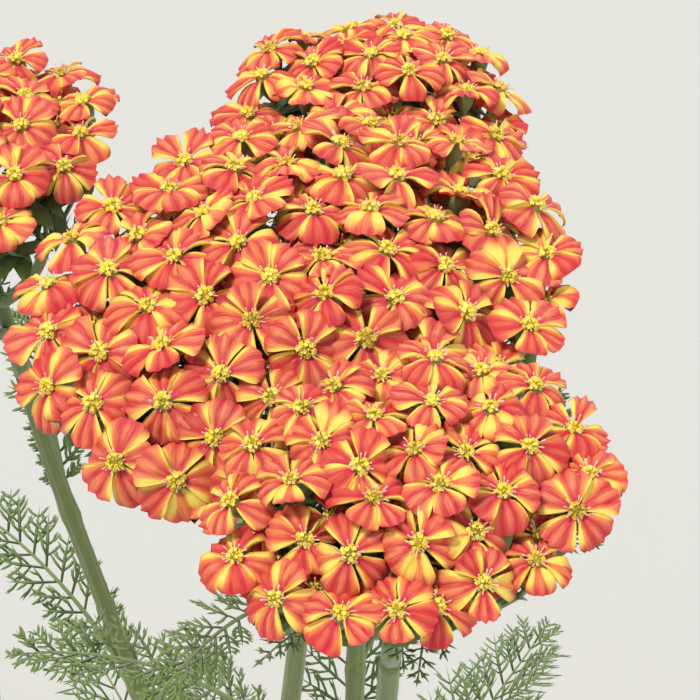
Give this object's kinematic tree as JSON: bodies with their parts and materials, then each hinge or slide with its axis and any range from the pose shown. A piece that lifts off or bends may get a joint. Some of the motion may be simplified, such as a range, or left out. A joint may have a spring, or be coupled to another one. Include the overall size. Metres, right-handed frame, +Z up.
{
  "type": "yarrow plant",
  "caption": "Potted yarrow in flower: upright leafy stems with flat-topped clusters of small coral and yellow flower heads, a rosette of ferny leaves, compost and a clay pot.",
  "frame": {"origin": "middle of the pot's foot, on the surface that the pot stands on", "axes": "+Z up along the pot's axis; the side towards -Y is the front, where the lowest edge of the flowers leans"},
  "size_m": [0.2558, 0.2579, 0.4359],
  "materials": {
    "rays": "matt petal, coral red with pale yellow edges",
    "disc": "matt florets, golden yellow",
    "stem": "matt, ribbed and downy, grey-green",
    "leaf": "matt, finely cut, dark green",
    "compost": "crumbly, dark brown",
    "clay": "unglazed fired clay, matt"
  },
  "bodies": {
    "root": {"pot": "clay", "soil": "compost", "stem_main": "stem", "stem_front": "stem", "stem_back": "stem", "stem_left": "stem", "flower_cluster_main": "rays", "flower_cluster_front": "rays", "flower_cluster_back": "rays", "flower_cluster_left": "rays", "basal_leaf_1": "leaf", "basal_leaf_2": "leaf", "basal_leaf_3": "leaf", "basal_leaf_4": "leaf", "basal_leaf_5": "leaf", "basal_leaf_6": "leaf", "basal_leaf_7": "leaf", "basal_leaf_8": "leaf", "basal_leaf_9": "leaf"}
  },
  "joints": []
}
